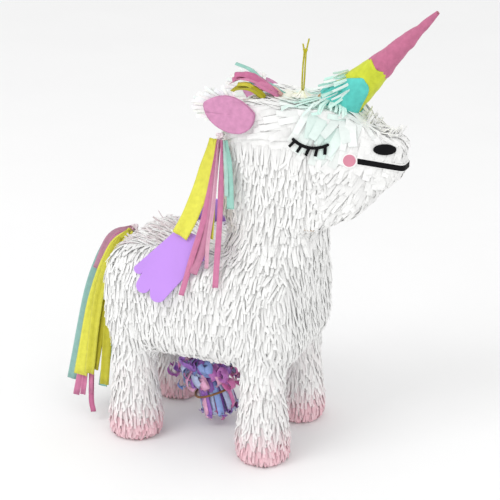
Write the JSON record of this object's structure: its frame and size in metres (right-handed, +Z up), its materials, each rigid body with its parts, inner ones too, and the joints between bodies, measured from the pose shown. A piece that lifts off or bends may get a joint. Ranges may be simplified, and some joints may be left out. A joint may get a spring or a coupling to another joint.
{
  "type": "pull-string pinata",
  "caption": "Fringed unicorn pull-string pinata: hollow card body with belly trap door, gathered pull ribbons, hanging cord, horn, wings, mane and tail.",
  "frame": {"origin": "on the ground under the middle of the overall box, 36.5 mm ahead of the centre between the four feet", "axes": "+X towards the head, +Y the animal's left, +Z up"},
  "size_m": [0.452, 0.207, 0.5455],
  "materials": {
    "white_tissue": "thin crepe tissue, cut in fringe",
    "hoof_pink_tissue": "thin crepe tissue, cut in fringe",
    "pink_tissue": "crepe paper",
    "yellow_tissue": "crepe paper",
    "mint_tissue": "crepe paper",
    "teal_tissue": "crepe paper",
    "card": "plain corrugated card",
    "lilac_foam": "smooth foam sheet",
    "black_sticker": "matt print",
    "pink_sticker": "matt print",
    "cord": "twisted cord",
    "pink_ribbon": "satin curling ribbon",
    "blue_ribbon": "satin curling ribbon",
    "violet_ribbon": "satin curling ribbon",
    "rubber_band": "matt rubber"
  },
  "bodies": {
    "body": {"torso_fringe": "white_tissue", "neck_fringe": "white_tissue", "head_fringe": "white_tissue", "cord_patch": "white_tissue", "torso_shell": "card", "trap_frame": "card", "neck_tube": "card", "head_shell": "card", "foot_discs": "card", "horn_cone": "card", "right_ear_card": "card", "left_ear_card": "card", "front_right_leg_tube": "card", "front_right_leg_fringe": "white_tissue", "front_right_hoof_fringe": "hoof_pink_tissue", "front_left_leg_tube": "card", "front_left_leg_fringe": "white_tissue", "front_left_hoof_fringe": "hoof_pink_tissue", "rear_right_leg_tube": "card", "rear_right_leg_fringe": "white_tissue", "rear_right_hoof_fringe": "hoof_pink_tissue", "rear_left_leg_tube": "card", "rear_left_leg_fringe": "white_tissue", "rear_left_hoof_fringe": "hoof_pink_tissue", "horn_teal_wrap": "teal_tissue", "horn_yellow_wrap": "yellow_tissue", "horn_pink_wrap": "pink_tissue", "right_ear_lining": "pink_tissue", "left_ear_lining": "pink_tissue", "right_wing": "lilac_foam", "left_wing": "lilac_foam", "right_eyelashes": "black_sticker", "left_eyelashes": "black_sticker", "nostrils": "black_sticker", "mouth_strip": "black_sticker", "cheek_discs": "pink_sticker", "cord_anchor": "cord", "crest_mint": "mint_tissue", "crest_pink": "pink_tissue", "crest_yellow": "yellow_tissue"},
    "trap_door": {"trap_door": "card", "trap_fringe": "white_tissue", "ribbon_anchor": "violet_ribbon"},
    "ribbon_bundle": {"ribbon_knot": "violet_ribbon", "pink_ribbons": "pink_ribbon", "blue_ribbons": "blue_ribbon", "violet_ribbons": "violet_ribbon"},
    "rubber_band": {"rubber_band": "rubber_band"},
    "fill_flap": {"fill_flap": "card", "fill_flap_fringe": "white_tissue"},
    "hanging_cord": {"hanging_cord": "cord"},
    "mane": {"mane_knot": "white_tissue", "mane_yellow": "yellow_tissue", "mane_pink": "pink_tissue", "mane_mint": "mint_tissue"},
    "tail": {"tail_knot": "white_tissue", "tail_pink": "pink_tissue", "tail_mint": "mint_tissue", "tail_yellow": "yellow_tissue"}
  },
  "joints": [
    {"name": "trap_door_hinge", "type": "hinge", "parent": "body", "child": "trap_door", "pos_m": [-0.0981, 0, 0.1134], "axis": [0, 1, 0], "range_deg": [0, 90], "stiffness_Nm_per_rad": 0.05},
    {"name": "ribbon_plumb", "type": "hinge", "parent": "trap_door", "child": "ribbon_bundle", "pos_m": [-0.0605, 0, 0.105], "axis": [0, 1, 0], "range_deg": [-90, 0]},
    {"name": "band_slide", "type": "slide", "parent": "ribbon_bundle", "child": "rubber_band", "axis": [0.2874, 0, -0.9578], "range_m": [-0.006, 0.006], "stiffness_N_per_m": 20},
    {"name": "fill_flap_hinge", "type": "hinge", "parent": "body", "child": "fill_flap", "pos_m": [-0.0365, 0.0906, 0.1584], "axis": [-1, 0, 0], "range_deg": [0, 95], "stiffness_Nm_per_rad": 0.05},
    {"name": "cord_tilt", "type": "hinge", "parent": "body", "child": "hanging_cord", "pos_m": [0.0715, 0, 0.441], "axis": [0, 1, 0], "range_deg": [-35, 45], "stiffness_Nm_per_rad": 0.01},
    {"name": "mane_swing", "type": "hinge", "parent": "body", "child": "mane", "pos_m": [-0.0115, -0.0455, 0.392], "axis": [-1, 0, 0], "range_deg": [0, 45]},
    {"name": "tail_lift", "type": "hinge", "parent": "body", "child": "tail", "pos_m": [-0.1485, 0, 0.247], "axis": [0, 1, 0], "range_deg": [0, 70]}
  ],
  "couplings": [
    {"joint": "ribbon_plumb", "follows": "trap_door_hinge", "ratio": -1}
  ]
}
